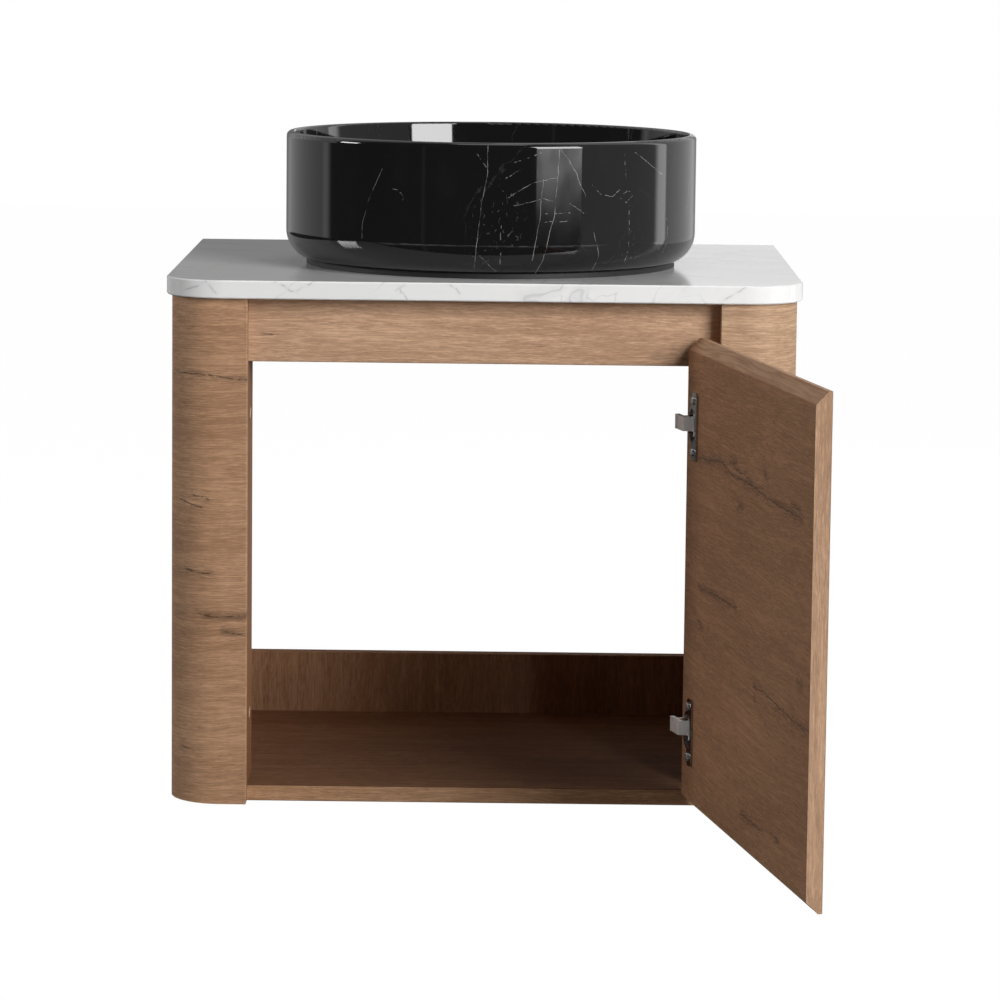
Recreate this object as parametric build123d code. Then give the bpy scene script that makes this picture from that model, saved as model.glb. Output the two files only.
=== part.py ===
from build123d import *
import math
import os

# Wall-hung bathroom vanity with a round vessel basin, in millimetres.
# It is laid out with X to the right, Y to the back and Z up, from the middle of the cabinet's
# front at its lower edge. The last step moves everything so that the origin lies on the wall,
# at the middle of the hanging screws.

# Counter
counter_width = 600.0
counter_depth = 490.0
counter_thickness = 17.0
counter_corner_radius = 56.0
counter_arris = 1.0
counter_front_overhang = 6.0
counter_side_overhang = 5.0

# Cabinet
cabinet_height = 481.0
board = 15.0
post_width = 74.0
post_radius = 50.0
stile_depth = 85.0
front_recess = 18.0
front_rail_height = 61.0
service_gap = 81.0
lower_rail_height = 62.0
upper_rail_height = 100.0
board_arris = 0.8

# Dowels and hanging screws
dowel_diameter = 8.0
dowel_length = 24.0
glue_clearance = 0.05
dowel_end_distance = 16.0
hanging_spacing_x = 400.0
hanging_spacing_z = 50.0
hanging_hole_diameter = 6.5

# How far cutting shapes reach past the faces that they cut
cut_margin = 1.0

# Door
door_side_gap = 2.0
door_lower_gap = 3.0
finger_gap_height = 33.0
door_thickness = 15.0
pull_bevel = 11.0
door_edge_chamfer = 1.2
door_swing_angle = 101.6

# Concealed hinges, placed from the door's ends and its hinge edge
lower_hinge_distance = 76.0
upper_hinge_distance = 80.0
cup_setback = 22.5
cup_bore_diameter = 35.0
cup_bore_depth = 12.0
cup_clearance = 0.1
cup_wall = 1.2
cup_depth = 11.5
cup_floor = 0.9
cup_lip = 1.1
cup_lip_height = 0.8
cup_notch_depth = 3.0
flange_thickness = 2.0
flange_width = 17.0
flange_height = 64.0
flange_corner = 5.0
flange_shift = 9.5
flange_screw_spacing = 48.0
flange_screw_shift = 6.0
pin_diameter = 2.5
pin_clearance = 0.05
cup_pin_inset = 11.1
cup_pin_depth = 3.9
cup_pin_seat = 0.35
arm_pin_inset = 38.0
arm_pin_setback = 5.0
link_turn_share = -0.36
link_knee_reach = 9.5
link_knee_angle = 22.0
link_half_width = 2.0
link_eye_radius = 2.6
link_half_height = 6.8
link_cheek = 1.5
link_web = 1.0
link_nose_room = 5.2
link_pin_room = 1.9
arm_half_height = 5.0
arm_wall = 1.4
arm_depth = 11.0
arm_elbow_inset = 20.0
arm_elbow_setback = 9.0
arm_heel_setback = 28.0
arm_tail_setback = 62.0
plate_thickness = 2.0
plate_half_height = 8.0
plate_wing_half_height = 22.0
plate_wing_width = 14.0
plate_wing_setback = 32.0
plate_front_setback = 26.0
plate_screw_spacing = 32.0
wood_screw_diameter = 4.0
wood_screw_length = 12.0
wood_screw_head_diameter = 7.6
wood_screw_head_height = 1.8
arm_screw_diameter = 4.0
arm_screw_head_diameter = 7.0
arm_screw_head_height = 2.0
arm_screw_setbacks = (38.0, 54.0)
spare_hole_diameter = 12.0
spare_hole_depth = 10.0
spare_hole_setback = 52.0
spare_pilot_diameter = 5.0
spare_pilot_setback = 71.0

# Basin
basin_diameter = 402.0
basin_height = 129.0
basin_wall = 8.0
basin_draft = 5.0
basin_base = 12.0
basin_floor_fall = 4.0
basin_outer_radius = 30.0
basin_inner_radius = 26.0
basin_rim_radius = 5.0
basin_rim_flat = 0.4
foot_inset = 20.0
foot_height = 3.0
foot_width = 9.0
foot_rise = 4.0
basin_offset = 4.0
basin_setback = 228.0
sealant_width = 11.0

# Pop-up drain
drain_hole_diameter = 45.0
drain_recess_diameter = 67.0
drain_recess_depth = 3.0
counter_hole_diameter = 52.0
drain_tube_diameter = 41.9
drain_tail_diameter = 40.0
drain_bore_diameter = 36.0
drain_tail_length = 44.0
drain_thread_below_nut = 3.0
drain_flange_diameter = 64.0
drain_flange_height = 2.6
drain_gasket_height = 2.0
drain_gasket_inset = 1.0
lower_gasket_diameter = 66.0
lower_gasket_height = 5.0
lock_nut_flats = 58.0
lock_nut_height = 10.0
thread_clearance = 0.08
guide_hub_diameter = 16.0
guide_height = 8.0
guide_drop = 26.0
guide_spoke_width = 4.0
guide_spokes = 3
plug_diameter = 58.0
plug_edge_height = 3.0
plug_crown = 2.4
plug_seal_diameter = 50.0
plug_seal_width = 4.0
plug_seal_height = 1.6
plug_stem_diameter = 10.0
plug_stem_tail = 8.0
plug_travel = 10.0
plug_rest_gap = 0.3

# Places worked out from the sizes above
counter_front = -counter_front_overhang
wall_y = counter_front + counter_depth
counter_top = cabinet_height + counter_thickness
outer_x = counter_width / 2 - counter_side_overhang
opening_x = outer_x - post_width
inner_x = outer_x - board
front_rail_z = cabinet_height - front_rail_height
upper_rail_z = cabinet_height - upper_rail_height
lower_rail_back = wall_y - service_gap
lower_rail_front = lower_rail_back - board
hanging_z = upper_rail_z + upper_rail_height / 2
hinge_edge_x = opening_x - door_side_gap
door_height = cabinet_height - door_lower_gap - finger_gap_height
hinge_levels = (door_lower_gap + lower_hinge_distance,
                door_lower_gap + door_height - upper_hinge_distance)
cup_x = hinge_edge_x - cup_setback
basin_place = Pos(basin_offset, counter_front + basin_setback, counter_top)
basin_radius = basin_diameter / 2
foot_diameter = basin_diameter - 2 * foot_inset
basin_floor_z = foot_height + basin_base
drain_seat_z = basin_floor_z - drain_recess_depth
flange_z = drain_seat_z + drain_gasket_height
flange_top_z = flange_z + drain_flange_height
tube_radius = drain_tube_diameter / 2
tube_bore = drain_bore_diameter / 2
tail_z = -counter_thickness - lower_gasket_height - lock_nut_height - drain_thread_below_nut
tube_end_z = tail_z - drain_tail_length

# Hinge linkage in plan, with the door closed: the arm pin is fixed to the cabinet and the cup
# pin rides in the door. The link turns back by a fixed share of the door's swing.
arm_pin = Vector(hinge_edge_x + door_side_gap - arm_pin_inset, door_thickness + arm_pin_setback)
cup_pin = Vector(hinge_edge_x - cup_pin_inset, door_thickness - cup_pin_depth)
link_knee = cup_pin + Vector(-link_knee_reach, 0).rotate(Axis.Z, link_knee_angle)
link_turn = door_swing_angle * link_turn_share
door_turn = door_swing_angle - link_turn


def turn_about(point, angle):
    """Turn about the upright line through a point of the plan."""
    return Pos(point.X, point.Y, 0) * Rot(0, 0, angle) * Pos(-point.X, -point.Y, 0)


link_open = turn_about(arm_pin, link_turn)
door_open = link_open * turn_about(cup_pin, door_turn)
to_wall = Pos(0, -wall_y, -hanging_z)


def box(x0, x1, y0, y1, z0, z1):
    """Board between two opposite corners."""
    return Pos(x0, y0, z0) * Box(x1 - x0, y1 - y0, z1 - z0, align=(Align.MIN,) * 3)


def plan(*points):
    """Flat outline in plan."""
    return make_face(Polyline(*points, close=True))


def corner(face, x, y):
    """Vertex of a flat outline nearest to a point."""
    return face.vertices().sort_by_distance((x, y, 0))[0]


def bar(start, end, radius):
    """Plan of a flat bar with round ends."""
    span = end - start
    angle = math.degrees(math.atan2(span.Y, span.X))
    middle = (start + end) / 2
    return Pos(middle.X, middle.Y) * Rot(0, 0, angle) * SlotCenterToCenter(span.length, 2 * radius)


def layer(face, low, high):
    """Plan outline made solid between two heights."""
    return Pos(0, 0, low) * extrude(face, high - low)


def rod_x(x0, x1, y, z, radius):
    """Round bar along X."""
    return Pos((x0 + x1) / 2, y, z) * Rot(0, 90, 0) * Cylinder(radius, abs(x1 - x0))


def rod_y(y0, y1, x, z, radius):
    """Round bar along Y."""
    return Pos(x, (y0 + y1) / 2, z) * Rot(90, 0, 0) * Cylinder(radius, abs(y1 - y0))


def rod_z(z0, z1, radius):
    """Round bar along Z on the basin's axis."""
    return Pos(0, 0, (z0 + z1) / 2) * Cylinder(radius, abs(z1 - z0))


def ring_z(z0, z1, outer, inner):
    """Flat ring on the basin's axis."""
    return rod_z(z0, z1, outer) - rod_z(z0 - cut_margin, z1 + cut_margin, inner)


def both_sides(solid):
    """The piece and its mirror image on the other side of the cabinet."""
    return [solid, mirror(solid, about=Plane.YZ)]


def at_hinges(make):
    """One copy of a hinge piece at each hinge level."""
    return [Pos(0, 0, level) * make() for level in hinge_levels]


def dowel_places():
    """Middle of each right-hand dowel, all along X: where two boards meet end to face."""
    rail_y = front_recess + board / 2
    floor_z = board / 2
    floor_start = stile_depth + 3 * dowel_end_distance
    floor_end = lower_rail_front - 3 * dowel_end_distance
    places = [(opening_x, rail_y, front_rail_z + dowel_end_distance),
              (opening_x, rail_y, cabinet_height - dowel_end_distance),
              (opening_x, (front_recess + stile_depth) / 2, floor_z),
              (inner_x, floor_start, floor_z),
              (inner_x, floor_end, floor_z)]
    for y, low, height in ((lower_rail_front, board, lower_rail_height),
                           (wall_y - board, upper_rail_z, upper_rail_height)):
        places.append((inner_x, y + board / 2, low + dowel_end_distance))
        places.append((inner_x, y + board / 2, low + height - dowel_end_distance))
    return places


def dowels(clearance):
    """All dowels, or with a clearance the holes that take them."""
    reach = dowel_length / 2 + clearance
    radius = dowel_diameter / 2 + clearance
    pegs = []
    for x, y, z in dowel_places():
        pegs += both_sides(rod_x(x - reach, x + reach, y, z, radius))
    return pegs


dowel_holes = dowels(glue_clearance)


def side_shell():
    """Right side: a bent board with a flat front, a round corner and a flat side."""
    face = plan((opening_x, 0), (outer_x, 0), (outer_x, wall_y), (inner_x, wall_y),
                (inner_x, board), (opening_x, board))
    face = fillet(corner(face, outer_x, 0), post_radius)
    face = fillet(corner(face, inner_x, board), post_radius - board)
    face = chamfer(corner(face, opening_x, 0), board_arris)
    return layer(face, 0, cabinet_height)


def stile():
    """Right post's return behind the front, which faces the door opening."""
    face = plan((opening_x, board), (opening_x + board, board),
                (opening_x + board, stile_depth), (opening_x, stile_depth))
    face = chamfer(corner(face, opening_x, stile_depth), board_arris)
    return layer(face, 0, cabinet_height)


def hinged_stile():
    """Right stile with pilot holes for the mounting plates."""
    solid = stile()
    for level in hinge_levels:
        for place in plate_screw_places():
            solid -= Pos(0, 0, level) * place * wood_screw_hole()
    return solid


def spare_stile():
    """Left stile with blind holes, so that the door can be hung on the other side."""
    solid = mirror(stile(), about=Plane.YZ)
    for level in hinge_levels:
        for y, diameter in ((spare_hole_setback, spare_hole_diameter),
                            (spare_pilot_setback, spare_pilot_diameter)):
            solid -= rod_x(-opening_x - spare_hole_depth, -opening_x + cut_margin, y, level, diameter / 2)
    return solid


def post_formers():
    """Three ribs that hold the right post's bent board in shape."""
    face = plan((opening_x + board, board), (inner_x, board),
                (inner_x, stile_depth), (opening_x + board, stile_depth))
    face = fillet(corner(face, inner_x, board), post_radius - board)
    return [layer(face, low, low + board)
            for low in (0, (cabinet_height - board) / 2, cabinet_height - board)]


def front_rail():
    """Apron between the posts, under the counter."""
    rail = box(-opening_x, opening_x, front_recess, front_recess + board,
               front_rail_z, cabinet_height)
    edge = rail.edges().filter_by(Axis.X).sort_by_distance((0, front_recess, front_rail_z))[0]
    return chamfer(edge, board_arris)


def bottom_panel():
    """Cabinet floor, with a tongue that fills the door opening between the stiles."""
    panel = box(-inner_x, inner_x, stile_depth, lower_rail_back, 0, board)
    panel += box(-opening_x, opening_x, front_recess, stile_depth, 0, board)
    edges = panel.edges().filter_by(Axis.X).sort_by(Axis.Y)[:2]
    return chamfer(edges, board_arris)


def lower_back_rail():
    """Low rail that stands on the floor panel, clear of the wall for the pipes."""
    rail = box(-inner_x, inner_x, lower_rail_front, lower_rail_back,
               board, board + lower_rail_height)
    edge = rail.edges().filter_by(Axis.X).sort_by_distance(
        (0, lower_rail_front, board + lower_rail_height))[0]
    return chamfer(edge, board_arris)


def upper_back_rail():
    """Rail against the wall, with the holes for the hanging screws."""
    rail = box(-inner_x, inner_x, wall_y - board, wall_y, upper_rail_z, cabinet_height)
    for x in (-hanging_spacing_x / 2, hanging_spacing_x / 2):
        for z in (-hanging_spacing_z / 2, hanging_spacing_z / 2):
            rail -= rod_y(wall_y - board - cut_margin, wall_y + cut_margin, x, hanging_z + z,
                          hanging_hole_diameter / 2)
    return rail


def drilled(solid):
    """A carcass board with the dowel holes that fall in it."""
    room = solid.bounding_box()
    for hole in dowel_holes:
        reach = hole.bounding_box()
        apart = (reach.min.X > room.max.X or reach.max.X < room.min.X
                 or reach.min.Y > room.max.Y or reach.max.Y < room.min.Y
                 or reach.min.Z > room.max.Z or reach.max.Z < room.min.Z)
        if not apart:
            solid -= hole
    return solid


def countertop():
    """Stone slab with round front corners, eased edges and the drain's hole."""
    half = counter_width / 2
    face = plan((-half, counter_front), (half, counter_front), (half, wall_y), (-half, wall_y))
    for x in (-half, half):
        face = fillet(corner(face, x, counter_front), counter_corner_radius)
    slab = layer(face, cabinet_height, counter_top)
    eased = [edge for edge in slab.edges() if abs(edge.tangent_at(0).Z) < 0.5
             and edge.center().Y < wall_y - counter_arris]
    slab = chamfer(eased, counter_arris)
    return slab - basin_place * rod_z(-counter_thickness - cut_margin, cut_margin,
                                      counter_hole_diameter / 2)


def basin():
    """Round bowl turned about its axis, on a narrow foot ring, with a recess for the drain."""
    inside = basin_radius - basin_wall
    edge_floor = basin_floor_z + basin_floor_fall
    inside_low = inside - (basin_height - edge_floor) * math.tan(math.radians(basin_draft))
    recess = drain_recess_diameter / 2
    hole = drain_hole_diameter / 2
    face = plan((hole, foot_height), (basin_radius, foot_height), (basin_radius, basin_height),
                (inside, basin_height), (inside_low, edge_floor), (recess, basin_floor_z),
                (recess, drain_seat_z), (hole, drain_seat_z))
    face = fillet(corner(face, basin_radius, foot_height), basin_outer_radius)
    face = fillet(corner(face, inside_low, edge_floor), basin_inner_radius)
    face = fillet(corner(face, basin_radius, basin_height), basin_rim_radius)
    face = fillet(corner(face, inside, basin_height), basin_wall - basin_rim_radius - basin_rim_flat)
    foot_outer = foot_diameter / 2
    foot_top = foot_height + foot_rise
    face += plan((foot_outer - foot_width, 0), (foot_outer, 0),
                 (foot_outer, foot_top), (foot_outer - foot_width, foot_top))
    return revolve(Plane.XZ * face, Axis.Z)


def basin_sealant():
    """Bead that beds the basin on the counter, inside the foot ring."""
    outer = foot_diameter / 2 - foot_width
    return ring_z(0, foot_height, outer, outer - sealant_width)


def drain_body():
    """Flanged tube with a plain tail, through basin and counter, and a spoked guide for the plug."""
    body = rod_z(tail_z, flange_z, tube_radius)
    body += rod_z(tube_end_z, tail_z, drain_tail_diameter / 2)
    flange = rod_z(flange_z, flange_top_z, drain_flange_diameter / 2)
    flange = fillet(flange.edges().sort_by(Axis.Z)[-1], drain_flange_height * 0.6)
    body = body + flange - rod_z(tube_end_z - cut_margin, flange_top_z + cut_margin, tube_bore)
    guide_z = flange_top_z - guide_drop
    hub = rod_z(guide_z - guide_height, guide_z, guide_hub_diameter / 2)
    for index in range(guide_spokes):
        spoke = Box((tube_bore + tube_radius) / 2, guide_spoke_width, guide_height,
                    align=(Align.MIN, Align.CENTER, Align.MAX))
        hub += Rot(0, 0, index * 360 / guide_spokes) * Pos(0, 0, guide_z) * spoke
    stem_hole = plug_stem_diameter / 2 + pin_clearance
    hub -= rod_z(guide_z - guide_height - cut_margin, guide_z + cut_margin, stem_hole)
    return body + hub


def drain_top_gasket():
    """Rubber ring between the flange and the basin's recess."""
    return ring_z(drain_seat_z, flange_z, drain_flange_diameter / 2 - drain_gasket_inset,
                  tube_radius + thread_clearance)


def drain_lower_gasket():
    """Tapered rubber ring under the counter."""
    top = -counter_thickness
    inner = tube_radius + thread_clearance
    outer = lower_gasket_diameter / 2
    face = plan((inner, top), (outer, top), (outer, top - lower_gasket_height / 2),
                (outer - lower_gasket_height / 2, top - lower_gasket_height),
                (inner, top - lower_gasket_height))
    return revolve(Plane.XZ * face, Axis.Z)


def drain_lock_nut():
    """Hexagon nut that clamps the drain."""
    top = -counter_thickness - lower_gasket_height
    nut = layer(RegularPolygon(lock_nut_flats / 2, 6, major_radius=False), top - lock_nut_height, top)
    return nut - rod_z(top - lock_nut_height - cut_margin, top + cut_margin,
                       tube_radius + thread_clearance)


def plug_under_z():
    """Underside of the plug's cap: the seal under it stands just clear of the flange."""
    return flange_top_z + plug_rest_gap + plug_seal_height


def drain_plug():
    """Crowned cap on a stem."""
    low = plug_under_z()
    rim = plug_diameter / 2
    top = low + plug_edge_height + plug_crown
    crown_radius = (rim ** 2 + plug_crown ** 2) / (2 * plug_crown)
    cap = rod_z(low, top, rim) & Pos(0, 0, top - crown_radius) * Sphere(crown_radius)
    foot = flange_top_z - guide_drop - guide_height - plug_travel - plug_stem_tail
    return cap + rod_z(foot, low, plug_stem_diameter / 2)


def drain_plug_seal():
    """Rubber ring under the plug's cap."""
    low = plug_under_z() - plug_seal_height
    outer = plug_seal_diameter / 2
    return ring_z(low, plug_under_z(), outer, outer - plug_seal_width)


def wood_screw():
    """Pan-head screw along +Y, with its head's seat at the origin."""
    head = rod_y(-wood_screw_head_height, 0, 0, 0, wood_screw_head_diameter / 2)
    head = fillet(head.edges().sort_by(Axis.Y)[0], wood_screw_head_height / 2)
    return head + rod_y(0, wood_screw_length, 0, 0, wood_screw_diameter / 2)


def wood_screw_hole():
    """Pilot hole for one screw, from its seat."""
    return rod_y(-cut_margin, wood_screw_length + glue_clearance, 0, 0,
                 wood_screw_diameter / 2 + glue_clearance)


def flange_screw_places():
    """Cup screws in the closed door, driven towards the front."""
    x = cup_x - flange_screw_shift
    return [Pos(x, door_thickness + flange_thickness, z) * Rot(0, 0, 180)
            for z in (-flange_screw_spacing / 2, flange_screw_spacing / 2)]


def plate_screw_places():
    """Mounting plate screws, driven sideways into the right stile."""
    y = board + plate_wing_setback
    return [Pos(opening_x - plate_thickness, y, z) * Rot(0, 0, -90)
            for z in (-plate_screw_spacing / 2, plate_screw_spacing / 2)]


def door_panel():
    """Flat door with finger bevels along its upper and lower inner edges, and the cup bores."""
    low = door_lower_gap
    high = low + door_height
    flat = door_thickness - pull_bevel
    end = Polyline((0, low), (flat, low), (door_thickness, low + pull_bevel),
                   (door_thickness, high - pull_bevel), (flat, high), (0, high), close=True)
    door = extrude(Plane.YZ.offset(-hinge_edge_x) * make_face(end), 2 * hinge_edge_x)
    door = chamfer(door.edges().filter_by(Axis.Z).group_by(Axis.Y)[0], door_edge_chamfer)
    for level in hinge_levels:
        bore_floor = door_thickness - cup_bore_depth
        door -= rod_y(bore_floor, door_thickness + cut_margin, cup_x, level, cup_bore_diameter / 2)
        for place in flange_screw_places():
            door -= Pos(0, 0, level) * place * wood_screw_hole()
    return door


def cup_pin_half_length():
    """Half the cup pin's length: across the cup and part of the way into its wall."""
    inside = cup_bore_diameter / 2 - cup_clearance - cup_wall
    off_centre = cup_setback - cup_pin_inset
    return math.sqrt(inside ** 2 - off_centre ** 2) + cup_pin_seat


def hinge_cup():
    """Pressed cup with a two-screw flange, let into the door."""
    outer = cup_bore_diameter / 2 - cup_clearance
    face_y = door_thickness
    top_y = face_y + flange_thickness
    cup = rod_y(face_y - cup_depth, face_y, cup_x, 0, outer)
    cup += rod_y(face_y, face_y + cup_lip_height, cup_x, 0, outer + cup_lip)
    flange = Plane.XZ * RectangleRounded(flange_width, flange_height, flange_corner)
    cup += Pos(cup_x - flange_shift, top_y, 0) * extrude(flange, flange_thickness)
    cup -= rod_y(face_y - cup_depth + cup_floor, top_y + cut_margin, cup_x, 0, outer - cup_wall)
    lip_end = hinge_edge_x - cup_pin_inset
    notch = link_half_height + link_cheek
    cup -= box(lip_end, hinge_edge_x, face_y - cup_notch_depth, top_y + cut_margin, -notch, notch)
    for place in flange_screw_places():
        cup -= place * wood_screw_hole()
    seat = cup_pin_half_length() + pin_clearance
    return cup - layer(Pos(cup_pin.X, cup_pin.Y) * Circle(pin_diameter / 2 + pin_clearance), -seat, seat)


def hinge_link():
    """Folded link: two cheeks on the pins, joined by a web along the outside of the bend."""
    holes = Pos(arm_pin.X, arm_pin.Y) * Circle(pin_diameter / 2 + pin_clearance)
    holes += Pos(cup_pin.X, cup_pin.Y) * Circle(pin_diameter / 2 + pin_clearance)
    strip = bar(arm_pin, link_knee, link_half_width) + bar(link_knee, cup_pin, link_half_width)
    cheek = strip + Pos(arm_pin.X, arm_pin.Y) * Circle(link_eye_radius)
    cheek += Pos(cup_pin.X, cup_pin.Y) * Circle(link_eye_radius)
    cheek -= holes
    across = (cup_pin - arm_pin).normalized().rotate(Axis.Z, 90) * link_web
    web = strip - Pos(across.X, across.Y) * strip
    web -= Pos(arm_pin.X, arm_pin.Y) * Circle(link_nose_room)
    web -= Pos(cup_pin.X, cup_pin.Y) * Circle(link_pin_room)
    inside = link_half_height - link_cheek
    link = layer(cheek, inside, link_half_height) + layer(cheek, -link_half_height, -inside)
    return link + layer(web, -inside, inside)


def hinge_arm():
    """Cranked arm from the mounting plate to the arm pin, hollow towards the plate."""
    seat_x = opening_x - plate_thickness
    heel = Vector(seat_x - arm_depth / 2, board + arm_heel_setback)
    elbow = Vector(opening_x - arm_elbow_inset - door_side_gap, board + arm_elbow_setback)
    tail_y = board + arm_tail_setback
    neck = bar(arm_pin, elbow, link_eye_radius) + bar(elbow, heel, arm_depth / 2)
    neck = neck & plan((0, 0), (seat_x, 0), (seat_x, tail_y), (0, tail_y))
    body = plan((seat_x - arm_depth, heel.Y), (seat_x, heel.Y), (seat_x, tail_y),
                (seat_x - arm_depth, tail_y))
    hollow = plan((seat_x - arm_depth + arm_wall, heel.Y), (seat_x + cut_margin, heel.Y),
                  (seat_x + cut_margin, tail_y + cut_margin),
                  (seat_x - arm_depth + arm_wall, tail_y + cut_margin))
    arm = layer(neck + body, -arm_half_height, arm_half_height)
    inside = arm_half_height - arm_wall
    arm -= layer(hollow, -inside, inside)
    for setback in arm_screw_setbacks:
        arm -= rod_x(seat_x - arm_depth - cut_margin, seat_x, board + setback, 0,
                     arm_screw_diameter / 2 + pin_clearance)
    hole = Pos(arm_pin.X, arm_pin.Y) * Circle(pin_diameter / 2 + pin_clearance)
    return arm - layer(hole, -link_half_height, link_half_height)


def hinge_plate():
    """Mounting plate with two screw wings, on the right stile."""
    seat_x = opening_x - plate_thickness
    front = board + plate_front_setback
    wing = board + plate_wing_setback - plate_wing_width / 2
    plate = box(seat_x, opening_x, front, board + arm_tail_setback,
                -plate_half_height, plate_half_height)
    plate += box(seat_x, opening_x, wing, wing + plate_wing_width,
                 -plate_wing_half_height, plate_wing_half_height)
    corners = plate.edges().filter_by(Axis.X).group_by(Axis.Z)
    plate = fillet(corners[0] + corners[-1], plate_wing_width / 3)
    for place in plate_screw_places():
        plate -= place * wood_screw_hole()
    for setback in arm_screw_setbacks:
        plate -= rod_x(seat_x - cut_margin, opening_x + cut_margin, board + setback, 0,
                       arm_screw_diameter / 2 + pin_clearance)
    return plate


def arm_screw(setback):
    """Machine screw that holds the arm on its plate."""
    head_x = opening_x - plate_thickness - arm_depth
    y = board + setback
    screw = rod_x(head_x, opening_x - pin_clearance, y, 0, arm_screw_diameter / 2)
    return screw + rod_x(head_x - arm_screw_head_height, head_x, y, 0, arm_screw_head_diameter / 2)


def arm_screws():
    """Both screws of one arm."""
    return Compound(children=[arm_screw(setback) for setback in arm_screw_setbacks])


def screws_at(places):
    """Wood screws at each place of one hinge."""
    return Compound(children=[place * wood_screw() for place in places])


def upright_pin(point, half_length):
    """Riveted hinge pin."""
    return layer(Pos(point.X, point.Y) * Circle(pin_diameter / 2), -half_length, half_length)


def moved(pieces, place):
    """The same pieces at another place."""
    return [place * piece for piece in pieces]


def build():
    """Every node's solids, at rest: the door stands open."""
    right_shell = drilled(side_shell())
    nodes = {
        "countertop": [countertop()],
        "basin": [basin_place * basin()],
        "basin_sealant": [basin_place * basin_sealant()],
        "right_side_shell": [right_shell],
        "left_side_shell": [mirror(right_shell, about=Plane.YZ)],
        "right_stile": [drilled(hinged_stile())],
        "left_stile": [drilled(spare_stile())],
        "right_post_formers": post_formers(),
        "left_post_formers": [mirror(rib, about=Plane.YZ) for rib in post_formers()],
        "front_rail": [drilled(front_rail())],
        "bottom_panel": [drilled(bottom_panel())],
        "lower_back_rail": [drilled(lower_back_rail())],
        "upper_back_rail": [drilled(upper_back_rail())],
        "carcass_dowels": dowels(0),
        "drain_body": [basin_place * drain_body()],
        "drain_top_gasket": [basin_place * drain_top_gasket()],
        "drain_lower_gasket": [basin_place * drain_lower_gasket()],
        "drain_lock_nut": [basin_place * drain_lock_nut()],
        "drain_plug": [basin_place * drain_plug()],
        "drain_plug_seal": [basin_place * drain_plug_seal()],
        "hinge_mounting_plates": at_hinges(hinge_plate),
        "hinge_plate_screws": at_hinges(lambda: screws_at(plate_screw_places())),
        "hinge_arms": at_hinges(hinge_arm),
        "hinge_arm_screws": at_hinges(arm_screws),
        "hinge_arm_pins": at_hinges(lambda: upright_pin(arm_pin, link_half_height)),
        "hinge_links": moved(at_hinges(hinge_link), link_open),
        "hinge_cup_pins": moved(at_hinges(lambda: upright_pin(cup_pin, cup_pin_half_length())), door_open),
        "hinge_cups": moved(at_hinges(hinge_cup), door_open),
        "hinge_cup_screws": moved(at_hinges(lambda: screws_at(flange_screw_places())), door_open),
        "door_panel": [door_open * door_panel()],
    }
    return {name: moved(pieces, to_wall) for name, pieces in nodes.items()}


def solids_of(pieces):
    """All single solids in a list of pieces."""
    return [solid for piece in pieces for solid in piece.solids()]


os.makedirs("parts", exist_ok=True)
for name, pieces in build().items():
    solids = solids_of(pieces)
    export_step(solids[0] if len(solids) == 1 else Compound(children=solids), f"parts/{name}.step")

arm_axis = to_wall * Pos(arm_pin.X, arm_pin.Y, 0)
cup_axis = to_wall * link_open * Pos(cup_pin.X, cup_pin.Y, 0)
print("arm pin axis", arm_axis.position, "cup pin axis", cup_axis.position)
print("door turns", door_turn, "link turns", link_turn, "ratio", link_turn / door_turn)
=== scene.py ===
import math
from collections import namedtuple
from functools import reduce

import bmesh
import bpy
from bpy.props import FloatProperty, FloatVectorProperty, PointerProperty
from mathutils import Matrix, Vector


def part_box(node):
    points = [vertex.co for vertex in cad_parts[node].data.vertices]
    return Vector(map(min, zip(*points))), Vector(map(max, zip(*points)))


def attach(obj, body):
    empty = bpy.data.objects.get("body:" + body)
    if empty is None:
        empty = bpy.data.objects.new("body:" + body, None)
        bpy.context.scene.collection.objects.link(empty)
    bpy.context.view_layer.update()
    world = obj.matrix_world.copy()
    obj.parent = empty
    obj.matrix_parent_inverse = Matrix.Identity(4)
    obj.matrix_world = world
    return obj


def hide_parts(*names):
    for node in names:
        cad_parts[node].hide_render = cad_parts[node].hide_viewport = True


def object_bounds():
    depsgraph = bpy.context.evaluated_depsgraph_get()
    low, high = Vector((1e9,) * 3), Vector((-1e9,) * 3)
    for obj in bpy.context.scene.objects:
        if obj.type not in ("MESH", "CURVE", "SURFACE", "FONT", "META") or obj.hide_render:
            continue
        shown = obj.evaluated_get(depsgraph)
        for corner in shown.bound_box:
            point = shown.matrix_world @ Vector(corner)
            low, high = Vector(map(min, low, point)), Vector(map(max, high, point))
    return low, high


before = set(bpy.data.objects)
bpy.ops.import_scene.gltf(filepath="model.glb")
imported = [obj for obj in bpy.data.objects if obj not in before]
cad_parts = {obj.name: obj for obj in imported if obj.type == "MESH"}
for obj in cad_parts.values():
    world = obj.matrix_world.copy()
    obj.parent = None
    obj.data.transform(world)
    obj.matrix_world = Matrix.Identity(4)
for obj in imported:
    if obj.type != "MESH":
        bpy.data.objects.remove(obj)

bl_info = {
    "name": "Vessel sink on vanity",
    "version": (1, 0, 0),
    "blender": (4, 5, 0),
    "location": "View3D > Sidebar > Vanity",
    "description": "Finishes, fine pieces and a studio for a wall-hung vanity with a vessel basin",
    "category": "Object",
}

cad_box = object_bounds()

# Sizes of the CAD part that the finishes follow, in metres, and the open door's swing in degrees
door_width = 0.438
door_thick = 0.015
door_bevel = 0.011
door_swing = 101.6
basin_foot = 0.0045
cup_half_height = 0.032
cup_screw_spacing = 0.048
plate_screw_spacing = 0.032

# Spare hinge holes in the left stile: distance from its front edge, and radius
spare_holes = ((0.037, 0.006), (0.056, 0.0025))

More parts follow.
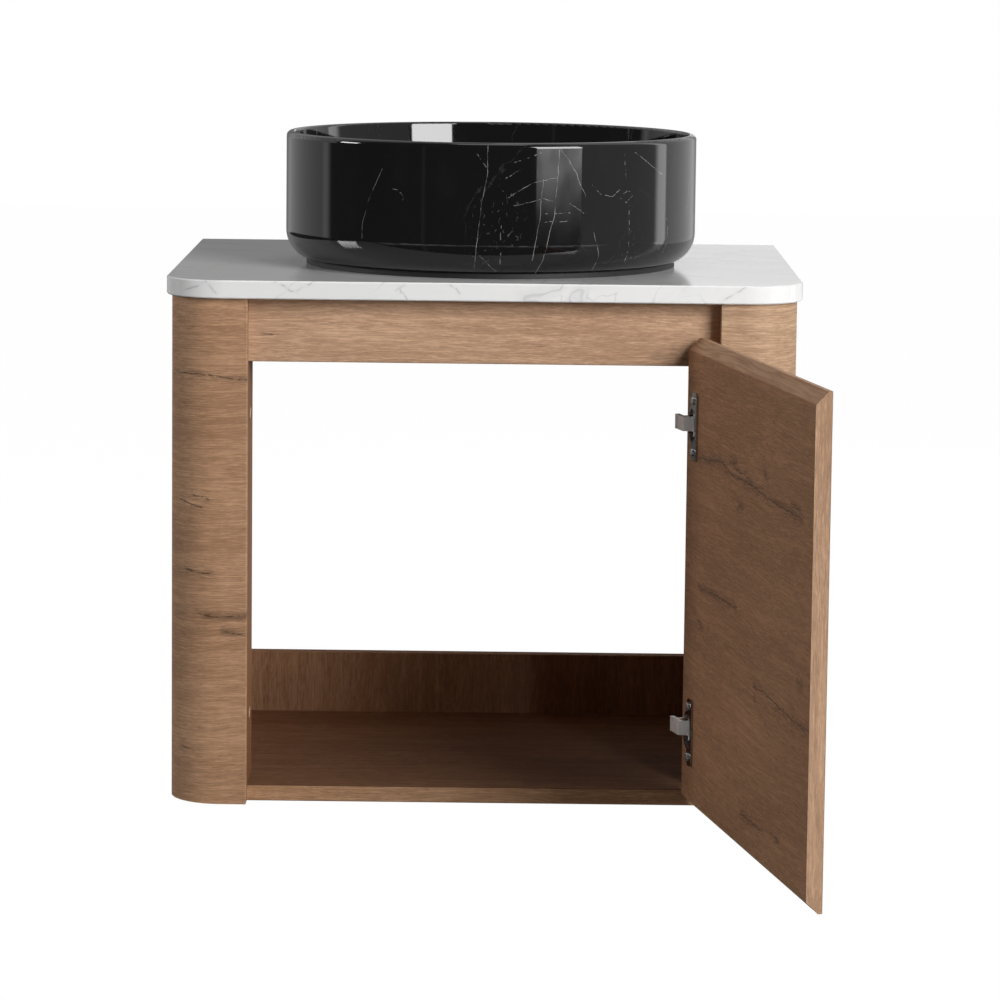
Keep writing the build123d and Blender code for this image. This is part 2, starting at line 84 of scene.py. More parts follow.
# Thickness of an edge band, depth of a show face, and width over which one finish meets the next
band_thick = 0.0004
face_depth = 0.001
blend = 0.0002
millimetre = 0.001

# Screws: head radius and height, thread radius, length under the head, pitch, and rounding of the head
Screw = namedtuple("Screw", "head rise crest reach pitch crown")
wood_screw = Screw(0.0038, 0.0018, 0.0020, 0.012, 0.0016, 0.0009)
machine_screw = Screw(0.0035, 0.0020, 0.0020, 0.01295, 0.0008, 0.0003)

# The soft lights' distance from the point that they face, and half the floor's width
light_distance = 5.0
light_target = (0, -0.3, 0)
floor_reach = 12.0


# Sizes and colours that a user would change

def colour(name, description, default):
    """Property for a finish's linear colour."""
    return FloatVectorProperty(name=name, description=description, default=default,
                               subtype="COLOR", size=3, min=0, max=1)


def length(name, description, default):
    """Property for a length in metres."""
    return FloatProperty(name=name, description=description, default=default,
                         unit="LENGTH", subtype="DISTANCE", precision=4)


class VanityFinishes(bpy.types.PropertyGroup):
    """Colours of the vanity's finishes."""
    oak_light: colour("Oak, light", "Colour of the pale grain", (0.62, 0.41, 0.262))
    oak_deep: colour("Oak, deep", "Colour of the dark grain", (0.365, 0.222, 0.130))
    oak_crack: colour("Oak, cracks", "Colour of cracks and knots", (0.055, 0.032, 0.02))
    oak_pore: colour("Oak, pores", "Colour of the fine dark pores", (0.19, 0.112, 0.064))
    raw_board: colour("Raw board", "Colour of drilled, unfinished board", (0.74, 0.57, 0.42))
    stone: colour("Stone", "Colour of the counter", (0.90, 0.90, 0.895))
    stone_vein: colour("Stone veins", "Colour of the counter's faint veins", (0.42, 0.42, 0.43))
    glaze: colour("Glaze", "Colour of the basin", (0.0042, 0.0042, 0.0048))
    glaze_vein: colour("Glaze veins", "Colour of the basin's veins", (0.60, 0.58, 0.55))
    steel: colour("Hinge steel", "Colour of the hinges", (0.90, 0.855, 0.815))
    cup: colour("Hinge cups", "Colour of the hinge cups", (0.40, 0.38, 0.365))
    zinc: colour("Zinc", "Colour of screws and pins", (0.66, 0.66, 0.67))
    chrome: colour("Chrome", "Colour of the drain", (0.80, 0.80, 0.82))
    brass: colour("Brass", "Colour of the lock nut", (0.66, 0.48, 0.20))
    rubber: colour("Rubber", "Colour of gaskets and seals", (0.018, 0.018, 0.019))
    silicone: colour("Silicone", "Colour of the basin's bedding", (0.62, 0.62, 0.60))
    beech: colour("Beech", "Colour of the dowels", (0.56, 0.38, 0.22))


class VanityStudio(bpy.types.PropertyGroup):
    """Camera and light."""
    lens: FloatProperty(name="Lens", description="Focal length on a 36 mm frame, in millimetres",
                        default=148.1)
    shift: FloatProperty(name="Shift", description="Vertical shift of the frame", default=-0.0743)
    camera_place: FloatVectorProperty(name="Camera", description="Place of the camera",
                                      default=(0.02609, -4.30399, 0.40804), subtype="TRANSLATION",
                                      unit="LENGTH")
    camera_pitch: FloatProperty(name="Pitch", description="How far the camera looks down",
                                default=math.radians(7.0870), subtype="ANGLE", unit="ROTATION")
    camera_yaw: FloatProperty(name="Yaw", description="How far the camera looks to the left",
                              default=math.radians(0.1526), subtype="ANGLE", unit="ROTATION")
    camera_roll: FloatProperty(name="Roll", description="How far the camera leans",
                               default=math.radians(0.6421), subtype="ANGLE", unit="ROTATION")
    key_power: FloatProperty(name="Key light", description="Power of the tall soft light, in watts",
                             default=239.0, min=0)
    fill_power: FloatProperty(name="Fill light", description="Power of the left soft light, in watts",
                              default=80.0, min=0)
    overhead_power: FloatProperty(name="Overhead light",
                                  description="Power of the overhead light, in watts",
                                  default=28.0, min=0)
    back_power: FloatProperty(name="Back light", description="Power of the light behind, in watts",
                              default=100.0, min=0)
    fill: FloatProperty(name="Ambient", description="Level of the light from all around",
                        default=0.02, min=0)
    floor_drop: length("Floor", "Height of the cabinet above the floor", 0.33)


# Shader expressions

class Field:
    """A shader socket that works in Python expressions."""

    def __init__(self, tree, socket):
        self.tree = tree
        self.socket = socket

    def node(self, kind, settings=None, inputs=None, output=0):
        """Add a node: its settings first, then the values or links of its sockets."""
        made = self.tree.nodes.new(kind)
        for name, value in (settings or {}).items():
            setattr(made, name, value)
        for name, value in (inputs or {}).items():
            if isinstance(value, Field):
                self.tree.links.new(value.socket, made.inputs[name])
            else:
                made.inputs[name].default_value = value
        return Field(self.tree, made.outputs[output]) if made.outputs else None

    def other(self, output):
        """Another output of the node that this field comes from."""
        return Field(self.tree, self.socket.node.outputs[output])

    def math(self, operation, *others, clamp=False):
        """A Math node with this field as its first value."""
        values = dict(enumerate((self,) + others))
        return self.node("ShaderNodeMath", {"operation": operation, "use_clamp": clamp}, values)

    def __add__(self, other):
        return self.math("ADD", other)

    __radd__ = __add__

    def __mul__(self, other):
        return self.math("MULTIPLY", other)

    __rmul__ = __mul__

    def __sub__(self, other):
        return self.math("SUBTRACT", other)

    def __rsub__(self, other):
        return self.node("ShaderNodeMath", {"operation": "SUBTRACT"}, {0: other, 1: self})

    def __abs__(self):
        return self.math("ABSOLUTE")

    def most(self, other):
        """The larger of two values."""
        return self.math("MAXIMUM", other)

    def least(self, other):
        """The smaller of two values."""
        return self.math("MINIMUM", other)

    def rise(self, low, high):
        """Smooth step from 0 at low to 1 at high."""
        return self.node("ShaderNodeMapRange", {"interpolation_type": "SMOOTHSTEP"},
                         {"Value": self, "From Min": low, "From Max": high})

    def between(self, first, second):
        """Mix two colours by this value."""
        return self.node("ShaderNodeMix", {"data_type": "RGBA"}, {0: self, 6: first, 7: second}, 2)

    def scaled(self, scale, place=(0, 0, 0), turn=(0, 0, 0)):
        """Coordinates moved, turned and stretched."""
        return self.node("ShaderNodeMapping", None,
                         {"Vector": self, "Location": place, "Rotation": turn, "Scale": scale})

    def vector(self, operation, second, output=0):
        """A Vector Math node with this field as its first vector."""
        name = "Scale" if operation == "SCALE" else 1
        return self.node("ShaderNodeVectorMath", {"operation": operation}, {0: self, name: second}, output)

    def noise(self, scale, detail=2.0, roughness=0.5, output=0):
        """Noise on stretched coordinates."""
        return self.node("ShaderNodeTexNoise", None, {
            "Vector": self.scaled(scale), "Scale": 1.0, "Detail": detail, "Roughness": roughness}, output)

    def sway(self, scale, detail=2.0, roughness=0.5):
        """Noise vector about zero, to shift coordinates by."""
        return self.noise(scale, detail, roughness, output=1).vector("SUBTRACT", (0.5, 0.5, 0.5))

    def cells(self, scale):
        """Distance from the edges of irregular cells."""
        return self.node("ShaderNodeTexVoronoi", {"feature": "DISTANCE_TO_EDGE"},
                         {"Vector": self.scaled(scale), "Scale": 1.0})

    def axes(self):
        """The three values of a vector."""
        first = self.node("ShaderNodeSeparateXYZ", None, {0: self})
        return first, first.other("Y"), first.other("Z")

    def near_line(self, start, end):
        """Distance from a straight line between two points."""
        start = Vector(start)
        span = Vector(end) - start
        away = self.vector("SUBTRACT", start)
        share = away.vector("DOT_PRODUCT", span, "Value").math("DIVIDE", span.length_squared, clamp=True)
        along = self.node("ShaderNodeVectorMath", {"operation": "SCALE"}, {0: span, "Scale": share})
        return away.vector("DISTANCE", along, "Value")


def near_path(point, path):
    """Distance from a bent line through several points."""
    return reduce(Field.least, [point.near_line(start, end) for start, end in zip(path, path[1:])])


def near_paths(point, paths):
    """Distance from the nearest of several bent lines."""
    return reduce(Field.least, [near_path(point, path) for path in paths])


def start_finish(name):
    """New material and its Object coordinates."""
    material = bpy.data.materials.new(name)
    material.use_nodes = True
    tree = material.node_tree
    tree.nodes.clear()
    return material, Field(tree, tree.nodes.new("ShaderNodeTexCoord").outputs["Object"])


def end_finish(point, sockets):
    """Principled surface with the given sockets."""
    surface = point.node("ShaderNodeBsdfPrincipled", None, sockets)
    point.node("ShaderNodeOutputMaterial", None, {"Surface": surface})


def bump(height, distance, strength=1.0):
    """Normal from a height in the range 0 to 1."""
    return height.node("ShaderNodeBump", None,
                       {"Height": height, "Distance": distance, "Strength": strength})


def opaque(rgb, tint=1.0):
    """Colour socket value from a colour property, times one level or three."""
    tints = tint if isinstance(tint, tuple) else (tint,) * 3
    return tuple(channel * level for channel, level in zip(rgb, tints)) + (1.0,)


# Finishes

fibre_ways = {"level": (1, 1, 0), "wide": (1, 0, 0), "upright": (0, 0, 1)}


def fibre(way, across, along):
    """Stretch for noise that runs along the grain: counts per metre across and along it."""
    return tuple(along if run else across for run in fibre_ways[way])


def oak_layers(point, way):
    """Tone and pores of an oak face, each from 0 to 1, and its wavy coordinates."""
    bent = point.vector("ADD", point.sway(fibre(way, 9.0, 3.0)).vector("SCALE", 0.035))
    broad = point.noise(fibre(way, 15.0, 3.0), 3.0)
    bands = bent.noise(fibre(way, 120.0, 5.0), 2.0)
    streaks = bent.noise(fibre(way, 760.0, 48.0), 3.0, 0.75)
    hairs = bent.noise(fibre(way, 1500.0, 130.0), 2.0)
    rings = abs(bands - 0.5).rise(0.035, 0.0) * streaks.rise(0.40, 0.56)
    lines = abs(bent.noise(fibre(way, 310.0, 5.0), 2.0) - 0.5).rise(0.10, 0.0) * broad.rise(0.40, 0.58)
    tone = broad * 0.26 + bands * 0.14 + streaks * 0.34 + hairs * 0.26
    pores = (hairs.rise(0.52, 0.66) * streaks.rise(0.58, 0.42)).most(rings * 0.55).most(lines * 0.45)
    return tone, pores, bent


def oak_colour(finishes, tone, pores, tint, spread=0.105):
    """Colour of an oak face from its tone and pores: a small spread gives strong grain."""
    wood = tone.rise(0.5 - spread, 0.5 + spread).between(opaque(finishes.oak_deep, tint),
                                                         opaque(finishes.oak_light, tint))
    return (pores * 0.6).between(wood, opaque(finishes.oak_pore, tint))


def oak_cracks(point, way, tone, bent, paths):
    """Cracks from 0 to 1: fine ones along the grain, and drawn ones with a dark smear around them."""
    cracks = bent.noise(fibre(way, 85.0, 9.0), 4.0, 0.7).rise(0.70, 0.80) * 0.4
    wobble = point.sway((110, 110, 110), 3.0, 0.6).vector("MULTIPLY", (0, 0, 0.005))
    flat = point.vector("MULTIPLY", (1, 0, 1)).vector("ADD", wobble)
    ragged = point.noise((200, 200, 420), 3.0, 0.7).rise(0.30, 0.58)
    for path, width in paths:
        reach = near_path(flat, [(along, 0, up) for along, up in path])
        line = reach.rise(width, width * 0.25) * ragged * 0.9
        smear = reach.rise(width * 7, 0.0) * tone.rise(0.58, 0.40) * 0.55
        cracks = cracks.most(line).most(smear)
    return cracks


def oak(name, finishes, way="level", tint=(1, 1, 1), paths=(), holes=(), turned=None, edge=None,
        bevels=None, show=None, sheen=0.36):
    """Oak board finish. Paths are cracks, and holes show raw board. Turned is a swung board's corner and
    angle. Edge is an edge band's axis, its start, signed by the side it lies on, and its tint. Show is a
    show face's depth and tint, and goes with bevels: their lower and upper ends, size and tint."""
    material, point = start_finish(name)
    if turned:
        place, angle = turned
        point = point.vector("SUBTRACT", place).scaled((1, 1, 1), turn=(0, 0, -angle))
    x, y, z = point.axes()
    tone, pores, bent = oak_layers(point, way)
    wood = oak_colour(finishes, tone, pores, tint)
    cracks = oak_cracks(point, way, tone, bent, paths)
    if show:
        depth, show_tint = show
        front = y.rise(depth - face_depth - blend, depth - face_depth + blend)
        wood = front.between(wood, oak_colour(finishes, tone, pores, show_tint))
        foot, top, size, pale = bevels
        low_cut = z.rise(foot + size, foot + size * 0.9)
        cuts = low_cut.most(z.rise(top - size, top - size * 0.9)) * (1 - front)
        worn = bent.noise(fibre(way, 300.0, 9.0), 3.0, 0.6).rise(0.38, 0.62)
        wood = (cuts * (0.35 + worn * 0.65)).between(wood, opaque(finishes.oak_light, pale))
    if edge:
        axis, start, band_tint = edge
        along = (x, y, z)[axis] * math.copysign(1, start)
        start = abs(start)
        band = along.rise(start - blend, start)
        edge_tone, edge_pores = oak_layers(point, "upright" if axis == 0 else way)[:2]
        seam = along.rise(start - 6 * blend, start - 3 * blend)
        seam = seam * along.rise(start + blend / 2, start - blend)
        cracks = (cracks * (1 - band)).most(seam * 0.7)
        wood = band.between(wood, oak_colour(finishes, edge_tone, edge_pores, band_tint, spread=0.115))
    wood = cracks.between(wood, opaque(finishes.oak_crack))
    for hole_y, hole_z, radius, face in holes:
        across = point.vector("MULTIPLY", (0, 1, 1))
        away = across.vector("DISTANCE", (0, hole_y, hole_z), "Value")
        inside = away.rise(radius + 2 * blend, radius + blend) * x.rise(face, face - blend)
        wood = inside.between(wood, opaque(finishes.raw_board))
    height = tone * 0.5 - pores * 0.6 - cracks * 0.9
    end_finish(point, {"Base Color": wood, "Roughness": 0.56 + tone * 0.14 + pores * 0.15,
                       "Specular IOR Level": sheen, "Normal": bump(height, 0.00022, 0.5)})
    return material


def beech(finishes):
    """Plain beech of the dowels."""
    material, point = start_finish("beech_dowels")
    grain = point.noise((60, 500, 500), 3.0)
    shade = grain.between(opaque(finishes.beech, 0.8), opaque(finishes.beech, 1.15))
    end_finish(point, {"Base Color": shade, "Roughness": 0.6, "Normal": bump(grain, 0.0001, 0.4)})
    return material


# Veins seen on the counter's front edge, in millimetres
counter_veins = (
    ((-280, -477, 57), (-274, -481.5, 59), (-268, -484.6, 61), (-264, -486.3, 64), (-259, -488, 67)),
    ((-260, -487.6, 66), (-255.5, -488.8, 62), (-252.5, -489.3, 58), (-249, -489.8, 55)),
    ((-198, -490, 66), (-191, -490, 65), (-186, -490, 62), (-180, -490, 58), (-174, -490, 57)),
    ((-174, -490, 59), (-169, -490, 62), (-163, -490, 64), (-158, -490, 67)),
    ((-80, -490, 63), (-78, -490, 58), (-75, -490, 56), (-72, -490, 51)),
    ((221, -490, 53), (229, -490, 58), (235, -490, 61), (243, -490, 66)),
    ((-35, -490, 67), (-27, -490, 62), (-23, -490, 58)),
)


def stone(finishes):
    """Polished white stone with faint grey veins that run one way."""
    material, point = start_finish("polished_stone")
    turned = point.scaled((1, 1, 1), turn=(0.5, 0.35, 0.7))
    bent = turned.vector("ADD", turned.sway((7, 7, 7), 4.0, 0.6).vector("SCALE", 0.07))
    field = abs(bent.noise((3.0, 11.0, 11.0), 3.0, 0.55) - 0.5)
    patches = point.noise((7, 7, 7), 2.0)
    vein = field.rise(0.012, 0.0) * 0.40 * patches.rise(0.42, 0.62)
    halo = field.rise(0.07, 0.0) * 0.12 * patches.rise(0.40, 0.60)
    thin = abs(bent.noise((8.0, 27.0, 27.0), 2.0) - 0.5).rise(0.012, 0.0)
    thin = thin * point.noise((12, 12, 12), 1.0).rise(0.52, 0.64) * 0.30
    shaken = point.vector("ADD", point.sway((150, 150, 150), 3.0, 0.6).vector("SCALE", 0.004))
    reach = near_paths(shaken, [[Vector(place) * millimetre for place in path] for path in counter_veins])
    broken = point.noise((170, 170, 170), 2.0).rise(0.36, 0.58)
    drawn = (reach.rise(0.0013, 0.0002) * broken * 0.5).most(reach.rise(0.004, 0.0) * 0.07)
    cloud = point.noise((6, 6, 6), 3.0)
    base = cloud.rise(0.3, 0.7).between(opaque(finishes.stone, 0.96), opaque(finishes.stone))
    base = vein.most(halo).most(thin).most(drawn).between(base, opaque(finishes.stone_vein))
    end_finish(point, {"Base Color": base, "Roughness": 0.085 + cloud * 0.03, "IOR": 1.5,
                       "Normal": bump(cloud, 0.00003, 0.3)})
    return material


# Clear and faint veins seen on the basin: degrees to the right of its front, and height in millimetres
basin_veins = (
    ((-0.6, 126), (-0.7, 100), (-2.8, 55), (-4.4, 6)),
    ((-30.4, 102), (-34.0, 78), (-36.7, 51), (-36.9, 36)),
    ((19.0, 123), (18.3, 95), (17.3, 60), (15.4, 29), (13.6, 5)),
    ((5.0, 78), (11.0, 91), (18.3, 97)),
    ((14.4, 95), (13.4, 55), (11.6, 18)),
    ((19.4, 123), (23.9, 100), (26.6, 78)),
    ((29.3, 44), (31.2, 22), (30.8, 9)),
    ((-3.1, 25), (1.8, 8)),
    ((6.5, 70), (14.5, 77), (17.2, 75)),
    ((42.7, 119), (54.8, 96)),
)
faint_veins = (
    ((-4, 121), (-2.5, 113), (-1, 106)),
    ((4, 96), (6, 99.5), (8, 104)),
    ((6, 111), (9, 113.5), (11.5, 117), (14, 121)),
    ((3.3, 52), (3, 33), (3, 16)),
    ((15, 63), (18.5, 63), (22, 63.5)),
    ((15, 55.5), (21.5, 56)),
    ((22, 72), (24.5, 67), (26, 63)),
    ((28.5, 89), (31, 81), (35, 78.5), (37.5, 84)),
    ((38, 78), (40.5, 83.5), (42, 78), (40, 71), (38, 76)),
    ((39, 117), (39.5, 95)),
    ((41, 68), (41, 45), (41, 15)),
    ((57, 54), (58, 46), (57.5, 33), (56.5, 22)),
    ((-27.5, 85), (-25.5, 83), (-23.5, 77), (-24, 74)),
)


def unrolled(veins, radius):
    """Points of veins on a round wall, laid out flat: metres to the right, none, and metres up."""
    return [[(math.radians(turn) * radius, 0, up * millimetre) for turn, up in path] for path in veins]


def marble_glaze(finishes, centre, radius):
    """Gloss black glaze with thin, broken white veins, and a dull foot."""
    material, raw = start_finish("black_marble_glaze")
    point = raw.vector("SUBTRACT", centre)
    x, y, z = point.axes()
    around = x.node("ShaderNodeMath", {"operation": "ARCTAN2"}, {0: x, 1: y * -1})
    turned = point.node("ShaderNodeCombineXYZ", None, {"X": around * radius, "Y": 0.0, "Z": z})
    shake = point.sway((45, 45, 45), 3.0, 0.6)
    flat = turned.vector("ADD", shake.vector("SCALE", 0.005)).vector("MULTIPLY", (1, 0, 1))
    broken = point.noise((120, 120, 75), 3.0, 0.7).rise(0.34, 0.60)
    clear = near_paths(flat, unrolled(basin_veins, radius))
    faint = near_paths(flat, unrolled(faint_veins, radius))
    drawn = clear.rise(0.00042, 0.00008) * broken
    dots = point.noise((330, 330, 210), 2.0, 0.7).rise(0.46, 0.58)
    drawn = drawn.most(faint.rise(0.00046, 0.00008) * dots * 0.85)
    shaken = point.vector("ADD", shake.vector("SCALE", 0.014))
    patches = point.noise((17, 17, 8), 2.0)
    long_veins = shaken.cells((14, 14, 5.0)).rise(0.006, 0.001) * patches.rise(0.52, 0.62)
    dust = point.noise((260, 260, 170), 1.0).rise(0.54, 0.66)
    crumbs = shaken.cells((110, 110, 60)).rise(0.026, 0.006) * dust * patches.rise(0.60, 0.70)
    unseen = abs(around).rise(math.radians(62), math.radians(80))
    veins = (drawn * 0.42).most(long_veins * broken * (unseen * 0.36 + 0.03)).most(crumbs * 0.13)
    cloud = point.noise((26, 26, 14), 4.0, 0.65).rise(0.5, 0.85) * 0.35
    body = cloud.between(opaque(finishes.glaze), opaque(finishes.glaze, 4.0))
    bare = z.rise(basin_foot + 3 * blend, basin_foot)
    gloss = 0.045 + cloud * 0.03
    end_finish(point, {"Base Color": veins.between(body, opaque(finishes.glaze_vein)),
                       "Roughness": bare.math("MULTIPLY_ADD", 0.6 - gloss, gloss), "IOR": 1.5,
                       "Normal": bump(point.noise((34, 34, 20), 2.0), 0.00006, 0.35)})
    return material


def metal(name, tint, roughness, brushed=(900, 900, 900), metallic=1.0):
    """Bare or plated metal with fine drawn marks."""
    material, point = start_finish(name)
    marks = point.noise(brushed, 2.0)
    cloud = point.noise((60, 60, 60), 3.0)
    shade = (cloud * 0.6 + marks * 0.4).rise(0.3, 0.7).between(opaque(tint, 0.88), opaque(tint, 1.04))
    end_finish(point, {"Base Color": shade, "Metallic": metallic, "Roughness": roughness + marks * 0.10,
                       "Normal": bump(marks, 0.00002, 0.4)})
    return material


def soft(name, tint, roughness):
    """Moulded rubber or silicone."""
    material, point = start_finish(name)
    skin = point.noise((700, 700, 700), 3.0)
    shade = point.noise((40, 40, 40), 2.0).between(opaque(tint, 0.85), opaque(tint, 1.15))
    end_finish(point, {"Base Color": shade, "Roughness": roughness + skin * 0.1,
                       "Normal": bump(skin, 0.00005, 0.5)})
    return material


# Screws

def wind(shape, core, crest, top, pitch, turns, sides):
    """Add a right-hand thread's ridge, which winds down about the Z axis from a height."""
    profile = ((core, 0, top), (crest, 0, top - pitch * 0.35), (crest, 0, top - pitch * 0.45),
               (core, 0, top - pitch * 0.8))
    flank = [shape.verts.new(place) for place in profile]
    bmesh.ops.spin(shape, geom=[shape.faces.new(flank)], cent=(0, 0, 0), axis=(0, 0, 1),
                   steps=turns * sides, dvec=(0, 0, -pitch / sides), angle=-turns * 2 * math.pi,
                   use_merge=False)
    bmesh.ops.recalc_face_normals(shape, faces=shape.faces)


def turn_on(shape, edges, steps):
    """Extrude a round loop through steps of radius and height, and give its last edges."""
    for radius, height in steps:
        grown = bmesh.ops.extrude_edge_only(shape, edges=edges)["geom"]
        verts = {part for part in grown if isinstance(part, bmesh.types.BMVert)}
        edges = [part for part in grown if isinstance(part, bmesh.types.BMEdge)
                 and verts.issuperset(part.verts)]
        for vert in verts:
            around = vert.co.xy.normalized() * radius
            vert.co = (around.x, around.y, height)
    return edges


def cross_screw(size):
    """Screw with a cross recess: its head's seat is at the origin and its tip at -Z."""
    head, rise, crest, reach, pitch, crown = size
    sides = 24
    slot = head * 0.13
    shape = bmesh.new()
    recess = bmesh.ops.create_circle(shape, segments=sides, radius=head * 0.58)["verts"]
    for vert in recess:
        x, y = vert.co.xy
        if abs(x) < abs(y) + slot * 0.01:
            vert.co.x = math.copysign(min(abs(x), slot), x)
        if abs(y) < abs(x) + slot * 0.01:
            vert.co.y = math.copysign(min(abs(y), slot), y)
        vert.co.z = rise
    mouth = list({edge for vert in recess for edge in vert.link_edges})
    rim = bmesh.ops.create_circle(shape, segments=sides, radius=head * 0.66)["verts"]
    bmesh.ops.translate(shape, verts=rim, vec=(0, 0, rise))
    brow = list({edge for vert in rim for edge in vert.link_edges})
    bmesh.ops.bridge_loops(shape, edges=mouth + brow)
    sunk = bmesh.ops.extrude_edge_only(shape, edges=mouth)["geom"]
    floor = {part for part in sunk if isinstance(part, bmesh.types.BMVert)}
    bmesh.ops.scale(shape, vec=(0.72, 0.72, 1), verts=list(floor))
    bmesh.ops.translate(shape, verts=list(floor), vec=(0, 0, -rise * 0.7))
    bmesh.ops.contextual_create(shape, geom=[part for part in sunk if isinstance(part, bmesh.types.BMEdge)
                                             and floor.issuperset(part.verts)])
    core = crest * 0.72
    shoulder = [(head - crown + crown * math.sin(math.radians(turn)),
                 rise - crown + crown * math.cos(math.radians(turn))) for turn in (15, 40, 65, 90)]
    tip = turn_on(shape, brow, shoulder + [(head, 0), (core, 0), (core, -reach * 0.82),
                                           (core * 0.25, -reach)])
    bmesh.ops.contextual_create(shape, geom=tip)
    turns = int((reach * 0.86 - pitch) / pitch)
    wind(shape, core * 0.95, crest, -pitch * 0.6, pitch, turns, sides=14)
    mesh = bpy.data.meshes.new("screw")
    shape.to_mesh(mesh)
    shape.free()
    return mesh


def drive(name, screw, places, axis, body, node, material):
    """One piece of like screws, driven along an axis at each place, in place of a CAD node."""
    shape = bmesh.new()
    turn = Vector((0, 0, -1)).rotation_difference(axis).to_matrix().to_4x4()
    for place in places:
        kept = len(shape.verts)
        shape.from_mesh(screw)
        shape.verts.ensure_lookup_table()
        bmesh.ops.transform(shape, matrix=Matrix.Translation(place) @ turn, verts=shape.verts[kept:])
    mesh = bpy.data.meshes.new(name)
    shape.to_mesh(mesh)
    shape.free()
    mesh.materials.append(material)
    piece = bpy.data.objects.new(name, mesh)
    bpy.context.scene.collection.objects.link(piece)
    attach(piece, body)
    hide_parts(node)


def dress(node, material):
    """Give a CAD node its finish."""
    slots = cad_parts[node].data.materials
    slots.clear()
    slots.append(material)


# Cracks seen in the wood: points along the board and up, then the crack's width, in metres
post_cracks = (
    (((-0.290, -0.0221), (-0.265, -0.0219), (-0.252, -0.0226), (-0.244, -0.0252),
      (-0.2215, -0.0265)), 0.0011),
    (((-0.273, -0.1365), (-0.257, -0.1397)), 0.0010),
    (((-0.2845, -0.1424), (-0.2635, -0.1479)), 0.0011),
    (((-0.278, -0.2080), (-0.256, -0.2104)), 0.0011),
    (((-0.267, -0.2485), (-0.2535, -0.2509), (-0.2215, -0.2505)), 0.0010),
    (((-0.242, -0.2648), (-0.2215, -0.2694)), 0.0010),
    (((-0.2825, -0.3782), (-0.275, -0.3799)), 0.0010),
)

door_cracks = (
    (((0.045, -0.0905), (0.134, -0.0829), (0.165, -0.0897), (0.238, -0.0898), (0.308, -0.0944),
      (0.403, -0.0956)), 0.0014),
    (((0.053, -0.2099), (0.143, -0.2072), (0.192, -0.2071)), 0.0011),
    (((0.255, -0.2663), (0.298, -0.2657), (0.375, -0.2713), (0.437, -0.2714)), 0.0012),
    (((0.220, -0.3887), (0.293, -0.3888)), 0.0013),
    (((0.055, -0.2421), (0.071, -0.2472)), 0.0012),
    (((0.1915, -0.116), (0.198, -0.113), (0.209, -0.1145)), 0.0013),
    (((0.3675, -0.086), (0.380, -0.087), (0.396, -0.090)), 0.0010),
    (((0.281, -0.069), (0.2815, -0.076), (0.290, -0.078)), 0.0014),
    (((0.161, -0.080), (0.182, -0.077)), 0.0016),
    (((0.182, -0.083), (0.217, -0.084), (0.235, -0.088)), 0.0013),
    (((0.399, -0.2345), (0.412, -0.237)), 0.0012),
    (((0.2585, -0.271), (0.261, -0.280)), 0.0011),
    (((0.324, -0.384), (0.3475, -0.3855)), 0.0013),
)

apron_cracks = ((((-0.206, 0.0146), (-0.197, 0.0147)), 0.0011),)


# Tints of the boards, by which the oak's colours are multiplied. Several are painted light and shade:
# lighter and darker copies of one oak, set by how much light each board gets
# painted shade: the left post, away from the key light, is a darker, redder copy of the oak
left_post_shade_tint = (0.95, 0.84, 0.76)
# painted light: the lit apron is a lighter copy of the oak
apron_light_tint = (1.09, 1.05, 1.05)
# painted shade: the cabinet's floor, in shadow inside the cabinet, is a much darker copy of the oak
floor_shade_tint = (0.52, 0.42, 0.37)
floor_edge_tint = (1.04, 0.93, 0.85)
# painted shade: the boards inside the cabinet are a darker copy of the oak
inner_shade_tint = (0.85, 0.78, 0.72)
# painted shade: the lower back rail and right stile, in shade inside the cabinet, are a darker copy of the
# oak
upright_shade_tint = (0.68, 0.58, 0.53)
# painted shade: the left stile's shaded inner face is a much darker copy of the oak
left_stile_shade_tint = (0.50, 0.37, 0.26)
# painted shade: the door's inner face and edges, turned away from the key light, are a darker copy of the
# oak; its outer face keeps door_face_tint
door_inner_shade_tint = (0.735, 0.58, 0.475)
door_face_tint = (0.97, 0.90, 0.84)
door_bevel_tint = (0.85, 0.78, 0.74)
# painted shade: the band on the door's free edge is a darker copy of the oak, to dim the light on it
door_edge_shade_tint = (0.85, 0.80, 0.77)


# Operators

class VANITY_OT_carcass(bpy.types.Operator):
    """Finish the cabinet's boards, with painted light and shade in their tints"""
    bl_idname = "vanity.carcass"
    bl_label = "Carcass"

    def execute(self, context):
        finishes = context.scene.vanity_finishes
        dress("left_side_shell", oak("oak_left_post", finishes, "level", left_post_shade_tint, post_cracks))
        dress("right_side_shell", oak("oak_right_post", finishes, "level"))
        dress("front_rail", oak("oak_apron", finishes, "wide", apron_light_tint, apron_cracks))
        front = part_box("bottom_panel")[0].y + band_thick
        dress("bottom_panel", oak("oak_floor", finishes, "wide", floor_shade_tint, sheen=0.03,
                                  edge=(1, front, floor_edge_tint)))
        inner = oak("oak_inner_boards", finishes, "wide", inner_shade_tint)
        for node in ("upper_back_rail", "left_post_formers", "right_post_formers"):
            dress(node, inner)
        upright = oak("oak_upright_boards", finishes, "upright", upright_shade_tint, sheen=0.1)
        for node in ("lower_back_rail", "right_stile"):
            dress(node, upright)
        low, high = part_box("left_stile")
        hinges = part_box("hinge_cups")
        levels = (hinges[0].z + cup_half_height, hinges[1].z - cup_half_height)
        holes = [(low.y + setback, level, radius, high.x)
                 for level in levels for setback, radius in spare_holes]
        dress("left_stile", oak("oak_left_stile", finishes, "upright", left_stile_shade_tint, holes=holes,
                               sheen=0.12))
        dress("carcass_dowels", beech(finishes))
        return {"FINISHED"}


